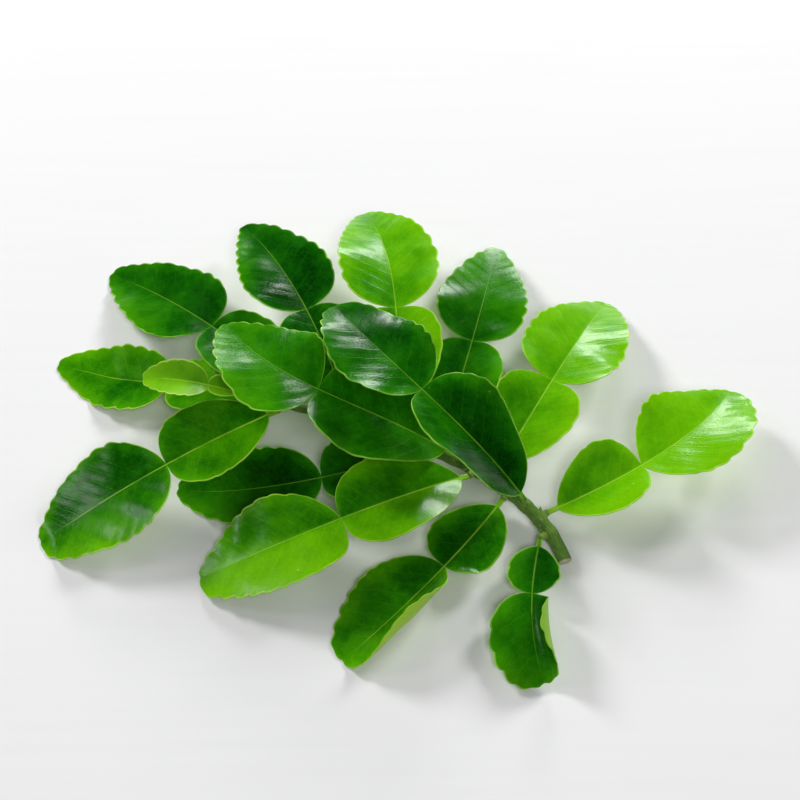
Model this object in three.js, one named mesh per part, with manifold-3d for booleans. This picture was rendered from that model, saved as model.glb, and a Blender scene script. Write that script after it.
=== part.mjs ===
import * as THREE from "three";
import { mergeVertices } from "three/addons/utils/BufferGeometryUtils.js";
import Module from "manifold-3d";

// A cut sprig of makrut lime, lying on the plane Z = 0. Millimetres, +Z up.
// The twig runs from its cut end, front right, to its growing tip, back left. Each leaf is a double leaf:
// a short petiole, a broad wing, a narrow neck and a blade of about the wing's size, all one piece.

// Twig
const TWIG_ROUTE = [
  [62, -62, 2.2],
  [51, -25, 6],
  [-9, -12, 15],
  [-48, -4, 18],
];
const TWIG_CUT_RADIUS = 2.4;
const TWIG_TIP_RADIUS = 1.2;
const TWIG_SIDES = 8;
const TWIG_RINGS = 36;
const NODE_SWELL_AT_CUT = 0.5;
const NODE_SWELL_AT_TIP = 0.25;
const NODE_REACH = 0.022;
const CUSHION_LENGTH = 0.5;
const CUSHION_RADIUS = 1.2;
const CUSHION_TAPER = 0.85;
const CUSHION_SIDES = 6;

// Every leaf
const PETIOLE_LENGTH = 4;
const PETIOLE_GAP = 1.0;
const PETIOLE_SLANT_GAP = 1.6;
const NECK_HALF_WIDTH = 1.0;
const TIP_HALF_WIDTH = 0.4;
const LEAF_THICKNESS = 0.7;
const RIB_HALF_WIDTH = 0.7;
const RIB_SHARE_LIMIT = 0.35;
const RIB_DEPTH = 1.0;
const WING_SHAPE = [0.66, 0.36];
const WING_STEPS = 12;
const TEETH = 12;
const TOOTH_DEPTH = 0.7;
const TEETH_START = 0.12;
const TEETH_FULL = 0.35;
const TEETH_FADE = 0.86;
const CURL_REACH = 18;
const JOINT_BLEND = 6;
const WAVE_REACH = 16;
const WAVE_LAG = 0.9;
const PRESS_SOFTNESS = 1;
const MIDRIB_STEPS = 240;
const LEAF_COLUMNS = 6;

// Stands in for zero where a formula divides
const SMALLEST = 1e-6;

const GREENS = { deep: 0x1f6a17, fresh: 0x3f9a1e, young: 0x9cc63c };
const TWIG_GREEN = 0x6f9a3c;

// Where the sprig's own middle lies, so that the origin is under the middle of its box
const FOOTPRINT_CENTRE = [3.97, -11.74];

// Leaves in their order along the twig. Angles are in degrees.
// along: share of the twig's length. heading: direction of the base seen from above, from +X.
// turn: how far the midrib swings over the wing and over the blade. pitch and roll: at base, neck and tip.
// wing and blade: [length, width].
// left and right: outline of the blade's halves, [base, tip]. A lower value is blunter there.
// fold: lift of the halves in the wing and in the blade.
// curl: how far each half bends up over CURL_REACH, [wing left, wing right, blade left, blade right].
// wave: [height, waves per leaf, phase in radians].
const LEAVES = [
  {
    name: "leaf_01", green: "deep", along: 0.1, heading: 257, turn: [8, 26],
    pitch: [6, 0, -18], roll: [0, 0, 6], wing: [19, 19], blade: [34, 30],
    left: [0.7, 0.9], right: [0.5, 0.55], fold: [16, 10], curl: [10, 0, 168, -10], wave: [0.8, 2.5, 0.4],
  },
  {
    name: "leaf_02", green: "fresh", along: 0.155, heading: 18, turn: [12, 34],
    pitch: [16, 8, -24], roll: [0, -8, -6], wing: [33, 31], blade: [52, 39],
    left: [0.72, 1.1], right: [0.6, 0.75], fold: [24, 14], curl: [-8, -10, -6, -12], wave: [0.9, 2.6, 2.2],
  },
  {
    name: "leaf_03", green: "deep", along: 0.215, heading: 147, turn: [-9, -18],
    pitch: [52, 14, -18], roll: [0, 10, 6], wing: [51, 36], blade: [50, 36],
    left: [0.48, 0.85], right: [0.42, 0.75], fold: [26, 8], curl: [-4, -14, -6, -6], wave: [1.6, 3.2, 1.4],
  },
  {
    name: "leaf_04", green: "fresh", along: 0.275, heading: 236, turn: [-8, -8],
    pitch: [2, -4, -10], roll: [0, 6, 0], wing: [30, 27], blade: [50, 36],
    left: [0.85, 0.9], right: [0.45, 0.65], fold: [8, 8], curl: [0, -6, 106, -4], wave: [0.8, 2.4, 5.1],
  },
  {
    name: "leaf_05", green: "fresh", along: 0.335, heading: 57, turn: [4, 4],
    pitch: [19, -1, -35], roll: [0, 0, 0], wing: [37, 32], blade: [56, 37],
    left: [0.42, 0.95], right: [0.42, 0.85], fold: [14, 12], curl: [-6, -6, -10, -10], wave: [0.9, 2.7, 0.9],
  },
  {
    name: "leaf_06", green: "fresh", along: 0.39, heading: 209, turn: [-8, -8],
    pitch: [20, -6, -26], roll: [0, 0, 0], wing: [46, 33], blade: [55, 36],
    left: [0.22, 0.48], right: [0.72, 1.05], fold: [15, 11], curl: [-6, -6, -8, -8], wave: [0.9, 2.5, 3.6],
  },
  {
    name: "leaf_07", green: "deep", along: 0.45, heading: 163, turn: [-10, -38],
    pitch: [36, 4, -12], roll: [0, 6, 6], wing: [50, 42], blade: [48, 40],
    left: [0.36, 0.9], right: [0.6, 1.1], fold: [14, 8], curl: [-6, -8, -6, -6], wave: [1.3, 2.8, 4.4],
  },
  {
    name: "leaf_08", green: "deep", along: 0.495, heading: 74, turn: [2, 4],
    pitch: [4, -2, -15], roll: [0, 0, 0], wing: [42, 29], blade: [52, 34],
    left: [0.48, 1.0], right: [0.4, 1.0], fold: [12, 12], curl: [-6, -6, -8, -8], wave: [0.8, 2.6, 3.9],
  },
  {
    name: "leaf_09", green: "deep", along: 0.545, heading: 198, turn: [-9, -20],
    pitch: [0, -8, -12], roll: [0, 0, 0], wing: [30, 26], blade: [54, 33],
    left: [0.5, 0.9], right: [0.55, 0.75], fold: [12, 10], curl: [0, 0, -6, -6], wave: [0.7, 2.5, 2.9],
  },
  {
    name: "leaf_10", green: "fresh", along: 0.62, heading: 85, turn: [9, 20],
    pitch: [22, 3, -32], roll: [0, 0, 0], wing: [42, 33], blade: [60, 37],
    left: [0.42, 0.8], right: [0.5, 0.95], fold: [14, 12], curl: [-6, -6, -8, -8], wave: [0.9, 2.5, 1.9],
  },
  {
    name: "leaf_11", green: "deep", along: 0.74, heading: 107, turn: [7, 11],
    pitch: [12, -1, -20], roll: [0, 0, 0], wing: [41, 30], blade: [56, 34],
    left: [0.5, 1.1], right: [0.4, 0.9], fold: [12, 11], curl: [-4, -4, -8, -8], wave: [0.9, 2.6, 4.8],
  },
  {
    name: "leaf_12", green: "deep", along: 0.86, heading: 131, turn: [6, 7],
    pitch: [-1, -9, -20], roll: [0, 0, 0], wing: [46, 30], blade: [56, 35],
    left: [0.45, 0.9], right: [0.38, 0.75], fold: [14, 11], curl: [-4, -4, -8, -8], wave: [0.9, 2.6, 5.8],
  },
  {
    name: "leaf_13", green: "fresh", along: 0.915, heading: 211, turn: [-3, -4],
    pitch: [6, -10, -30], roll: [0, 0, 0], wing: [40, 32], blade: [54, 38],
    left: [0.42, 0.62], right: [0.62, 0.98], fold: [14, 10], curl: [-4, -4, -8, -8], wave: [0.8, 2.4, 0.2],
  },
  {
    name: "leaf_14", green: "fresh", along: 0.965, heading: 160, turn: [2, 2],
    pitch: [-10, -14, -16], roll: [0, 0, 0], wing: [34, 24], blade: [48, 30],
    left: [0.5, 1.0], right: [0.55, 0.9], fold: [12, 10], curl: [-4, -4, -8, -8], wave: [0.8, 2.5, 3.1],
  },
  {
    name: "young_leaf", green: "young", along: 1, heading: 178, turn: [-2, 4],
    pitch: [28, 16, -4], roll: [0, -6, -8], wing: [11, 9], blade: [24, 15],
    left: [0.45, 0.7], right: [0.5, 0.75], fold: [24, 20], curl: [8, 8, 10, 10], wave: [0.2, 2, 0],
  },
];

const wasm = await Module();
wasm.setup();

// Shape of an egg-like outline from 0 to 1 and back to 0 over its length, with its slope
function outline(share, shape) {
  const [base, end] = shape;
  const widest = base / (base + end);
  const t = THREE.MathUtils.clamp(share, SMALLEST, 1 - SMALLEST);
  const height = (t / widest) ** base * ((1 - t) / (1 - widest)) ** end;
  return { height, slope: height * (base / t - end / (1 - t)) };
}

// The parabola through three values, at 0, at the neck and at 1
function throughThree(u, neck, values) {
  const [atBase, atNeck, atTip] = values;
  const base = (atBase * (u - neck) * (u - 1)) / neck;
  const middle = (atNeck * u * (u - 1)) / (neck * (neck - 1));
  const tip = (atTip * u * (u - neck)) / (1 - neck);
  return base + middle + tip;
}

function directionOf(heading, pitch) {
  const level = Math.cos(pitch);
  return new THREE.Vector3(level * Math.cos(heading), level * Math.sin(heading), Math.sin(pitch));
}

// The leaf's midrib as a row of frames, walked from the base with its heading, pitch and roll
function midribOf(leaf, base) {
  const neckAt = PETIOLE_LENGTH + leaf.wing[0];
  const length = neckAt + leaf.blade[0];
  const neck = neckAt / length;
  const swing = [0, leaf.turn[0], leaf.turn[0] + leaf.turn[1]];
  const frames = [];
  const centre = base.clone();
  let last = null;
  for (let i = 0; i <= MIDRIB_STEPS; i += 1) {
    const u = i / MIDRIB_STEPS;
    const heading = THREE.MathUtils.degToRad(leaf.heading + throughThree(u, neck, swing));
    const pitch = THREE.MathUtils.degToRad(throughThree(u, neck, leaf.pitch));
    const roll = THREE.MathUtils.degToRad(throughThree(u, neck, leaf.roll));
    const along = directionOf(heading, pitch);
    const left = new THREE.Vector3(-Math.sin(heading), Math.cos(heading), 0).applyAxisAngle(along, roll);
    const up = new THREE.Vector3().crossVectors(along, left);
    if (last) {
      centre.addScaledVector(along.clone().add(last), length / MIDRIB_STEPS / 2);
    }
    frames.push({ centre: centre.clone(), left, up });
    last = along;
  }
  return { frames, length, neckAt };
}

function frameAt(midrib, distance) {
  const place = THREE.MathUtils.clamp(distance / midrib.length, 0, 1) * MIDRIB_STEPS;
  const i = Math.min(Math.floor(place), MIDRIB_STEPS - 1);
  const from = midrib.frames[i];
  const to = midrib.frames[i + 1];
  const share = place - i;
  return {
    centre: from.centre.clone().lerp(to.centre, share),
    left: from.left.clone().lerp(to.left, share).normalize(),
    up: from.up.clone().lerp(to.up, share).normalize(),
  };
}

// Cross-rows of the leaf: their distance from the base and, for the left and the right half, the half width
// and how far the tooth there stands out
function stationsOf(leaf) {
  const narrow = { half: NECK_HALF_WIDTH, ahead: 0, out: 0 };
  const rows = [
    { distance: 0, sides: [narrow, narrow] },
    { distance: PETIOLE_LENGTH / 2, sides: [narrow, narrow] },
  ];
  for (let i = 0; i <= WING_STEPS; i += 1) {
    const t = (1 - Math.cos((Math.PI * i) / WING_STEPS)) / 2;
    const half = Math.hypot(NECK_HALF_WIDTH, (leaf.wing[1] / 2) * outline(t, WING_SHAPE).height);
    const edge = { half, ahead: 0, out: 0 };
    rows.push({ distance: PETIOLE_LENGTH + t * leaf.wing[0], sides: [edge, edge] });
  }
  const bladeStart = PETIOLE_LENGTH + leaf.wing[0];
  const steps = 2 * TEETH;
  for (let i = 1; i <= steps; i += 1) {
    const t = (1 - Math.cos((Math.PI * i) / steps)) / 2;
    const risen = THREE.MathUtils.smoothstep(t, TEETH_START, TEETH_FULL);
    const faded = THREE.MathUtils.smoothstep(t, TEETH_FADE, 1);
    const tooth = TOOTH_DEPTH * risen * (1 - faded) * ((i % 2) - 0.5);
    const sides = [leaf.left, leaf.right].map((shape) => bladeEdge(leaf, shape, t, tooth));
    rows.push({ distance: bladeStart + t * leaf.blade[0], sides });
  }
  return rows;
}

// One half's margin at a share of the blade's length; its tooth stands along the outline's normal
function bladeEdge(leaf, shape, t, tooth) {
  const edge = outline(t, shape);
  const wide = (leaf.blade[1] / 2) * edge.height;
  const half = Math.hypot(THREE.MathUtils.lerp(NECK_HALF_WIDTH, TIP_HALF_WIDTH, t), wide);
  const slope = ((leaf.blade[1] / 2) * edge.slope) / leaf.blade[0];
  const slant = Math.hypot(1, slope);
  return { half, ahead: (-tooth * slope) / slant, out: tooth / slant };
}

// A height that never goes below zero, eased in where it would
function pressed(height) {
  if (height < -PRESS_SOFTNESS) {
    return 0;
  }
  if (height < PRESS_SOFTNESS) {
    return (height + PRESS_SOFTNESS) ** 2 / (4 * PRESS_SOFTNESS);
  }
  return height;
}

// One point of the leaf's middle surface and the way up from it; across is positive left of the midrib
function surfaceAt(leaf, midrib, distance, across) {
  const frame = frameAt(midrib, distance);
  const { neckAt } = midrib;
  const past = THREE.MathUtils.smoothstep(distance, neckAt - JOINT_BLEND, neckAt + JOINT_BLEND);
  const side = Math.sign(across) || 1;
  const [wingCurl, bladeCurl] = side > 0 ? [leaf.curl[0], leaf.curl[2]] : [leaf.curl[1], leaf.curl[3]];
  const fold = THREE.MathUtils.degToRad(THREE.MathUtils.lerp(leaf.fold[0], leaf.fold[1], past));
  const curl = THREE.MathUtils.degToRad(THREE.MathUtils.lerp(wingCurl, bladeCurl, past)) / CURL_REACH;
  const bend = Math.abs(curl) < SMALLEST ? SMALLEST : curl;
  const far = Math.abs(across);
  const lean = fold + bend * far;
  const [waveHeight, waves, phase] = leaf.wave;
  const ripple = Math.sin(2 * Math.PI * waves * (distance / midrib.length) + phase + side * WAVE_LAG);
  const lift = (Math.cos(fold) - Math.cos(lean)) / bend + waveHeight * (far / WAVE_REACH) ** 2 * ripple;
  const point = frame.centre.clone();
  point.addScaledVector(frame.left, (side * (Math.sin(lean) - Math.sin(fold))) / bend);
  point.addScaledVector(frame.up, lift);
  const up = frame.up.clone().multiplyScalar(Math.cos(lean));
  up.addScaledVector(frame.left, -side * Math.sin(lean));
  const underside = point.z - (up.z * LEAF_THICKNESS) / 2;
  point.z += pressed(underside) - underside;
  return { point, up, ribUp: frame.up };
}

// The points of one cross-row, from the left margin over the midrib to the right margin
function columnsOf(row) {
  const [left, right] = row.sides.map((side) => {
    const rib = Math.min(RIB_HALF_WIDTH, RIB_SHARE_LIMIT * side.half);
    return [
      { across: side.half + side.out, ahead: side.ahead, onRib: false },
      { across: side.half / 2, ahead: 0, onRib: false },
      { across: rib, ahead: 0, onRib: true },
    ];
  });
  return [...left, ...right.reverse().map((column) => ({ ...column, across: -column.across }))];
}

// The closed solid of one leaf: the same grid on its upper and lower face, joined round the margin
function leafGeometry(leaf, base) {
  const midrib = midribOf(leaf, base);
  const rows = stationsOf(leaf);
  const upper = [];
  const lower = [];
  for (const row of rows) {
    const ribDepth = RIB_DEPTH * (1 - row.distance / midrib.length);
    for (const column of columnsOf(row)) {
      const { point, up, ribUp } = surfaceAt(leaf, midrib, row.distance + column.ahead, column.across);
      upper.push(point.clone().addScaledVector(up, LEAF_THICKNESS / 2));
      const under = point.clone().addScaledVector(up, -LEAF_THICKNESS / 2);
      if (column.onRib) {
        under.addScaledVector(ribUp, -ribDepth);
      }
      under.z = Math.max(under.z, 0);
      lower.push(under);
    }
  }
  const points = [...upper, ...lower];
  const below = upper.length;
  const index = [];
  const quad = (a, b, c, d) => index.push(a, b, c, a, c, d);
  for (let row = 0; row < rows.length - 1; row += 1) {
    for (let column = 0; column < LEAF_COLUMNS - 1; column += 1) {
      const a = row * LEAF_COLUMNS + column;
      const [b, c, d] = [a + 1, a + LEAF_COLUMNS + 1, a + LEAF_COLUMNS];
      quad(a, b, c, d);
      index.push(below + a, below + c, below + b, below + a, below + d, below + c);
    }
    const left = row * LEAF_COLUMNS;
    const right = left + LEAF_COLUMNS - 1;
    quad(left, left + LEAF_COLUMNS, below + left + LEAF_COLUMNS, below + left);
    quad(right, below + right, below + right + LEAF_COLUMNS, right + LEAF_COLUMNS);
  }
  const end = (rows.length - 1) * LEAF_COLUMNS;
  for (let column = 0; column < LEAF_COLUMNS - 1; column += 1) {
    quad(column, below + column, below + column + 1, column + 1);
    quad(end + column, end + column + 1, below + end + column + 1, below + end + column);
  }
  return indexedGeometry(points, index);
}

function indexedGeometry(points, index) {
  const geometry = new THREE.BufferGeometry();
  geometry.setAttribute("position", new THREE.Float32BufferAttribute(points.flatMap((p) => p.toArray()), 3));
  geometry.setIndex(index);
  return geometry;
}

const twigLine = new THREE.CubicBezierCurve3(...TWIG_ROUTE.map((point) => new THREE.Vector3(...point)));

function twigRadius(along) {
  const plain = THREE.MathUtils.lerp(TWIG_CUT_RADIUS, TWIG_TIP_RADIUS, along);
  const swell = LEAVES.reduce((sum, leaf) => sum + Math.exp(-(((along - leaf.along) / NODE_REACH) ** 2)), 0);
  return plain + THREE.MathUtils.lerp(NODE_SWELL_AT_CUT, NODE_SWELL_AT_TIP, along) * Math.min(swell, 1);
}

// Where a leaf leaves the twig: the point on the twig's axis and the outward direction there
function axilOf(leaf) {
  const centre = twigLine.getPoint(leaf.along);
  const tangent = twigLine.getTangent(leaf.along);
  const way = directionOf(THREE.MathUtils.degToRad(leaf.heading), THREE.MathUtils.degToRad(leaf.pitch[0]));
  if (leaf.along === 1) {
    return { centre, outward: way, radius: 0, slant: 0 };
  }
  const slant = way.dot(tangent);
  const outward = way.clone().addScaledVector(tangent, -slant).normalize();
  return { centre, outward, radius: twigRadius(leaf.along), slant };
}

function leafBase(leaf) {
  const { centre, outward, radius, slant } = axilOf(leaf);
  const gap = PETIOLE_GAP + PETIOLE_SLANT_GAP * Math.abs(slant) ** 2;
  return centre.clone().addScaledVector(outward, radius + gap);
}

function solidOf(geometry) {
  const plain = geometry.clone();
  plain.deleteAttribute("normal");
  plain.deleteAttribute("uv");
  const merged = mergeVertices(plain);
  const vertProperties = new Float32Array(merged.attributes.position.array);
  const triVerts = new Uint32Array(merged.index.array);
  return new wasm.Manifold(new wasm.Mesh({ numProp: 3, vertProperties, triVerts }));
}

function geometryOf(solid) {
  const mesh = solid.getMesh();
  const geometry = new THREE.BufferGeometry();
  geometry.setAttribute("position", new THREE.BufferAttribute(new Float32Array(mesh.vertProperties), 3));
  geometry.setIndex(new THREE.BufferAttribute(new Uint32Array(mesh.triVerts), 1));
  return geometry;
}

// The bare stem: rings along its line, pressed flat where it lies on the surface at the cut end
function stemGeometry() {
  const points = [];
  const index = [];
  for (let ring = 0; ring <= TWIG_RINGS; ring += 1) {
    const along = ring / TWIG_RINGS;
    const centre = twigLine.getPoint(along);
    const tangent = twigLine.getTangent(along);
    const left = new THREE.Vector3(-tangent.y, tangent.x, 0).normalize();
    const up = new THREE.Vector3().crossVectors(tangent, left);
    const radius = twigRadius(along);
    for (let side = 0; side < TWIG_SIDES; side += 1) {
      const turn = (2 * Math.PI * (side + 0.5)) / TWIG_SIDES + Math.PI / 2;
      const point = centre.clone();
      point.addScaledVector(left, radius * Math.cos(turn)).addScaledVector(up, radius * Math.sin(turn));
      point.z = Math.max(point.z, 0);
      points.push(point);
    }
  }
  for (let ring = 0; ring < TWIG_RINGS; ring += 1) {
    for (let side = 0; side < TWIG_SIDES; side += 1) {
      const a = ring * TWIG_SIDES + side;
      const b = ring * TWIG_SIDES + ((side + 1) % TWIG_SIDES);
      index.push(a, b, b + TWIG_SIDES, a, b + TWIG_SIDES, a + TWIG_SIDES);
    }
  }
  const last = TWIG_RINGS * TWIG_SIDES;
  for (let side = 1; side < TWIG_SIDES - 1; side += 1) {
    index.push(0, side + 1, side, last, last + side, last + side + 1);
  }
  return indexedGeometry(points, index);
}

// The low cushion that carries a leaf base, from inside the stem out to just short of the petiole
function cushionGeometry(leaf) {
  const { centre, outward, radius } = axilOf(leaf);
  const length = radius + CUSHION_LENGTH;
  const top = CUSHION_RADIUS * CUSHION_TAPER;
  const cushion = new THREE.CylinderGeometry(top, CUSHION_RADIUS, length, CUSHION_SIDES);
  cushion.applyQuaternion(new THREE.Quaternion().setFromUnitVectors(new THREE.Vector3(0, 1, 0), outward));
  const middle = centre.clone().addScaledVector(outward, length / 2);
  return cushion.translate(middle.x, middle.y, middle.z);
}

function twigGeometry() {
  let twig = solidOf(stemGeometry());
  for (const leaf of LEAVES.filter((one) => one.along < 1)) {
    twig = twig.add(solidOf(cushionGeometry(leaf)));
  }
  return geometryOf(twig);
}

function leafMaterial(leaf) {
  return new THREE.MeshStandardMaterial({ color: GREENS[leaf.green], roughness: 0.35, metalness: 0 });
}

function twigMaterial() {
  return new THREE.MeshStandardMaterial({ color: TWIG_GREEN, roughness: 0.55, metalness: 0 });
}

const sprig = new THREE.Group();
sprig.name = "makrut_lime_sprig";
sprig.position.set(-FOOTPRINT_CENTRE[0], -FOOTPRINT_CENTRE[1], 0);

const twig = new THREE.Mesh(twigGeometry(), twigMaterial());
twig.name = "twig";
sprig.add(twig);

for (const leaf of LEAVES) {
  const mesh = new THREE.Mesh(leafGeometry(leaf, leafBase(leaf)), leafMaterial(leaf));
  mesh.name = leaf.name;
  sprig.add(mesh);
}

export default sprig;
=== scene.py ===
"""A cut sprig of makrut lime on a pale surface: fine leaves, twig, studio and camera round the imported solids.

Lengths inside the shape classes are millimetres in the sprig's own plan, and meshes are put down in metres.
"""

import logging
import math
from dataclasses import dataclass, field
from enum import Enum
from typing import Any, Optional, Union

import bpy
import numpy as np
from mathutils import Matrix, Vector


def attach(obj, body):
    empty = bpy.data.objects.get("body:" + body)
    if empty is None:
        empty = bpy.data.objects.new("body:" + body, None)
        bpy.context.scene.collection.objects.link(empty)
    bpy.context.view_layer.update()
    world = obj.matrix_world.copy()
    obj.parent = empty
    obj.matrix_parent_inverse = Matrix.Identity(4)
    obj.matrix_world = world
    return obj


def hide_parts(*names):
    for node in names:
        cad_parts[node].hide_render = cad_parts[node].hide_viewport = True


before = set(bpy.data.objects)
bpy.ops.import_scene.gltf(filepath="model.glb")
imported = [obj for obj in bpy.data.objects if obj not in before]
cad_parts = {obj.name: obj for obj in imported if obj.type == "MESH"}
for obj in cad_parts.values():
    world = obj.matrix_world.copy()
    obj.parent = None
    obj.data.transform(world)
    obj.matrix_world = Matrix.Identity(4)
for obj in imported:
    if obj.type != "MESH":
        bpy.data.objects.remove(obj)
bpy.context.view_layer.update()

LOG = logging.getLogger("makrut_sprig")

MM = 0.001
SMALLEST = 1e-6
FOOTPRINT_CENTRE = np.array([3.97, -11.74, 0.0])

# Lateral veins: millimetres apart along the midrib, how far they lag to the tip for a millimetre outwards and
# how that grows, and the share of a spacing by which the left ones are shifted
VEIN_SPACING = 5.2
VEIN_SLANT = 0.62
VEIN_BEND = 0.009
VEIN_STAGGER = 0.43

Array = np.ndarray
Colour = tuple[float, float, float]


class Green(Enum):
    """The record's material slots for leaves, by age."""

    DEEP = "leaf_deep_green"
    FRESH = "leaf_fresh_green"
    YOUNG = "young_leaf_green"


def smoothstep(x: Array, low: float, high: float) -> Array:
    """Returns 0 below low, 1 above high and 3t^2 - 2t^3 between them."""
    t = np.clip((x - low) / (high - low), 0.0, 1.0)
    return t * t * (3.0 - 2.0 * t)


def lerp(a: Any, b: Any, share: Any) -> Any:
    """Returns the value that lies at share of the way from a to b."""
    return a + (b - a) * share


def unit(v: Array) -> Array:
    """Returns vectors along the last axis brought to length one."""
    return v / np.maximum(np.linalg.norm(v, axis=-1, keepdims=True), 1e-12)


def direction(heading: Any, pitch: Any) -> Array:
    """Turns angles into unit vectors.

    Args:
        heading: the angle from +X, in radians.
        pitch: the angle above the plane, in radians.

    Returns:
        The vectors, along a new last axis.
    """
    level = np.cos(pitch)
    rise = np.sin(pitch) * np.ones_like(level)
    return np.stack([level * np.cos(heading), level * np.sin(heading), rise], -1)


def through_three(u: Array, neck: float, values: tuple[float, float, float]) -> Array:
    """The parabola through three values, as the sum of Lagrange's three terms.

    Args:
        u: share of the length, 0 to 1.
        neck: the share at which the neck lies.
        values: at 0, at the neck and at 1.

    Returns:
        The parabola at each share.
    """
    base = values[0] * (u - neck) * (u - 1) / neck
    middle = values[1] * u * (u - 1) / (neck * (neck - 1))
    tip = values[2] * u * (u - neck) / (1 - neck)
    return base + middle + tip


def egg(share: Array, base: float, end: float) -> tuple[Array, Array]:
    """An egg-like outline of height 1: a power of the share from the base times a power of the share left.

    Args:
        share: place along the outline, 0 to 1.
        base: power at the base; a lower one is blunter.
        end: power at the end.

    Returns:
        The height and its slope.
    """
    widest = base / (base + end)
    t = np.clip(share, SMALLEST, 1 - SMALLEST)
    height = (t / widest) ** base * ((1 - t) / (1 - widest)) ** end
    return height, height * (base / t - end / (1 - t))


def pressed(height: Array, softness: float = 1.0) -> Array:
    """Returns heights that never go below zero, eased in by a parabola where they would."""
    eased = (height + softness) ** 2 / (4 * softness)
    return np.where(height < -softness, 0.0, np.where(height < softness, eased, height))


def rings_round(centre: Array, left: Array, up: Array, turn: Array, out: Array) -> Array:
    """Sets closed rings of points round the centres, in the plane of left and up, and none under the surface.

    Args:
        centre: the rings' centres, as (rings, 3).
        left: a unit vector for each ring.
        up: the unit vector at right angles to it.
        turn: the points' angles round a ring.
        out: the radius, as (rings, points round) or (rings, 1).

    Returns:
        The points as (rings, points round, 3).
    """
    rings = centre[:, None] + out[..., None] * (
        np.cos(turn)[None, :, None] * left[:, None] + np.sin(turn)[None, :, None] * up[:, None]
    )
    rings[..., 2] = np.maximum(rings[..., 2], 0)
    return rings


@dataclass
class Shell:
    """A closed body: points in millimetres, faces as index lists, and a number a point for each attribute."""

    points: Array
    quads: Array
    triangles: Array
    values: dict[str, Array]

    @classmethod
    def from_rings(cls, rings: Array, start: Array, end: Array, values: dict[str, Array]) -> "Shell":
        """Joins closed rings of points by quads and closes both ends with fans round a pole.

        Args:
            rings: points as (rings, points round, 3).
            start: the pole before the first ring.
            end: the pole after the last ring.
            values: attribute name to an array as (rings, points round); poles take the mean of their ring.

        Returns:
            The shell, with its faces turned outwards.
        """
        count, round_ = rings.shape[:2]
        index = np.arange(count * round_).reshape(count, round_)
        following = np.roll(index, -1, axis=1)
        quads = np.stack([index[:-1], following[:-1], following[1:], index[1:]], -1).reshape(-1, 4)
        first = np.stack([following[0], index[0], np.full(round_, count * round_)], -1)
        last = np.stack([index[-1], following[-1], np.full(round_, count * round_ + 1)], -1)
        points = np.concatenate([rings.reshape(-1, 3), [start], [end]])
        kept = {
            name: np.concatenate([v.ravel(), [v[0].mean()], [v[-1].mean()]]) for name, v in values.items()
        }
        shell = cls(points, quads, np.concatenate([first, last]), kept)
        return shell if shell.volume() > 0 else shell.flipped()

    def volume(self) -> float:
        """Returns the signed volume: the sum over the triangles of a.(b x c)/6."""
        halves = np.concatenate([self.quads[:, [0, 1, 2]], self.quads[:, [0, 2, 3]], self.triangles])
        a, b, c = (self.points[halves[:, k]] for k in range(3))
        return float(np.einsum("ij,ij->i", a, np.cross(b, c)).sum() / 6)

    def flipped(self) -> "Shell":
        """Returns the same body with every face turned over."""
        return Shell(self.points, self.quads[:, ::-1], self.triangles[:, ::-1], self.values)

    def joined(self, other: "Shell") -> "Shell":
        """Puts two bodies into one shell.

        Args:
            other: a shell with the same attributes.

        Returns:
            The shell that holds both.
        """
        shift = len(self.points)
        return Shell(
            np.concatenate([self.points, other.points]),
            np.concatenate([self.quads, other.quads + shift]),
            np.concatenate([self.triangles, other.triangles + shift]),
            {name: np.concatenate([v, other.values[name]]) for name, v in self.values.items()},
        )

    def to_object(self, name: str, material: bpy.types.Material) -> bpy.types.Object:
        """Makes the mesh object, at the origin, with its place in its mesh and smooth faces.

        Args:
            name: the object's name.
            material: its only material.

        Returns:
            The linked object.
        """
        mesh = bpy.data.meshes.new(name)
        placed = (self.points - FOOTPRINT_CENTRE) * MM
        mesh.from_pydata(placed.tolist(), [], self.quads.tolist() + self.triangles.tolist())
        for key, numbers in self.values.items():
            layer = mesh.attributes.new(key, "FLOAT", "POINT")
            layer.data.foreach_set("value", numbers.astype(np.float32))
        mesh.polygons.foreach_set("use_smooth", np.ones(len(mesh.polygons), bool))
        mesh.materials.append(material)
        mesh.update()
        made = bpy.data.objects.new(name, mesh)
        bpy.context.scene.collection.objects.link(made)
        return made


# Shader maths


class Signal:
    """A socket whose value is worked with as a number: each operator adds its Math node."""

    def __init__(self, paint: "Paint", socket: bpy.types.NodeSocket) -> None:
        """Keeps the socket and the paint that owns it."""
        self.paint = paint
        self.socket = socket

    def __add__(self, other: "Value") -> "Signal":
        """Sum."""
        return self.paint.math("ADD", self, other)

    def __sub__(self, other: "Value") -> "Signal":
        """Difference."""
        return self.paint.math("SUBTRACT", self, other)

    def __rsub__(self, other: "Value") -> "Signal":
        """Reflected difference."""
        return self.paint.math("SUBTRACT", other, self)

    def __mul__(self, other: "Value") -> "Signal":
        """Product."""
        return self.paint.math("MULTIPLY", self, other)

    def __truediv__(self, other: "Value") -> "Signal":
        """Quotient."""
        return self.paint.math("DIVIDE", self, other)

    __radd__ = __add__


Value = Union[Signal, float]


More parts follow.
